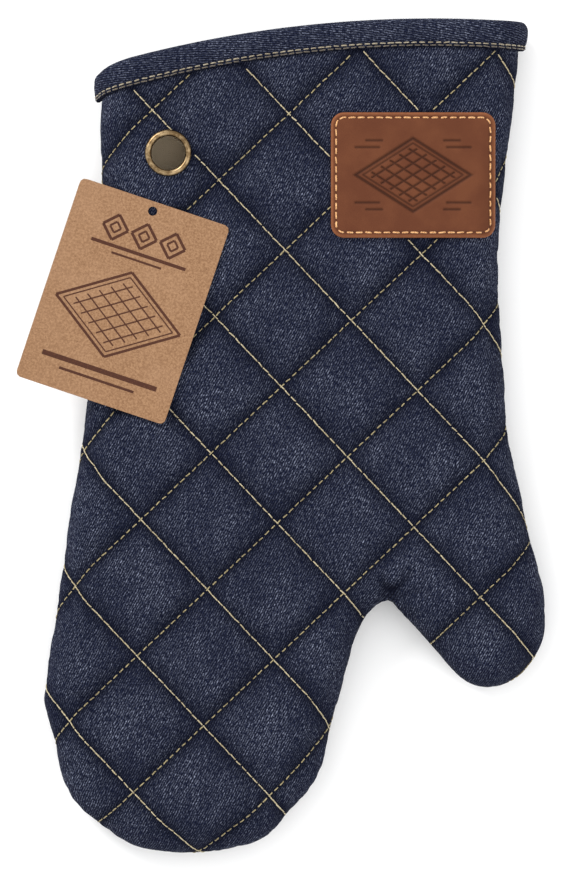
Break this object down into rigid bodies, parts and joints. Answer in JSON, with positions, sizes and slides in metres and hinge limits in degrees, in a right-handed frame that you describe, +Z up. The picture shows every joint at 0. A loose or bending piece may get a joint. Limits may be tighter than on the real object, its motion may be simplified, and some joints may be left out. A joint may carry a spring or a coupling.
{
  "type": "oven mitt",
  "caption": "Single quilted denim oven mitt lying flat, with a bound cuff, an eyelet, a plain leather patch and a blank swing tag.",
  "frame": {"origin": "middle of the palm on the face that the mitt rests on", "axes": "+Z up from the rest face, +Y up the sleeve to the cuff, +X to the thumb's side"},
  "size_m": [0.2061, 0.3224, 0.0256],
  "materials": {
    "denim": "indigo cotton twill with pale slubs, matt",
    "wadding": "needled cotton wadding, fibrous and matt",
    "lining": "grey-brown plain-woven cotton, matt",
    "quilting_thread": "pale straw sewing thread with a faint sheen",
    "seam_thread": "dark blue sewing thread",
    "binding_denim": "indigo cotton twill tape, folded",
    "leather": "smooth tan-brown leather with a lighter burnished edge",
    "patch_thread": "golden-tan sewing thread",
    "brass": "antiqued brass, satin, darker in the recess",
    "kraft_card": "uncoated brown kraft card with flecks",
    "tag_ink": "flat dark brown print"
  },
  "bodies": {
    "mitt": {"front_denim_panel": "denim", "back_denim_panel": "denim", "front_wadding": "wadding", "back_wadding": "wadding", "front_lining": "lining", "back_lining": "lining", "side_seam_thread": "seam_thread", "front_quilting_rising": "quilting_thread", "front_quilting_falling": "quilting_thread", "back_quilting_rising": "quilting_thread", "back_quilting_falling": "quilting_thread", "cuff_binding": "binding_denim", "binding_stitching": "quilting_thread", "leather_patch": "leather", "patch_stitching": "patch_thread", "eyelet": "brass", "eyelet_washer": "brass"},
    "tag": {"swing_tag": "kraft_card"}
  },
  "joints": [
    {"name": "tag_swing", "type": "hinge", "parent": "mitt", "child": "tag", "pos_m": [-0.0565, 0.0851, 0.0246], "axis": [0, 0, 1], "range_deg": [-35, 40]}
  ]
}
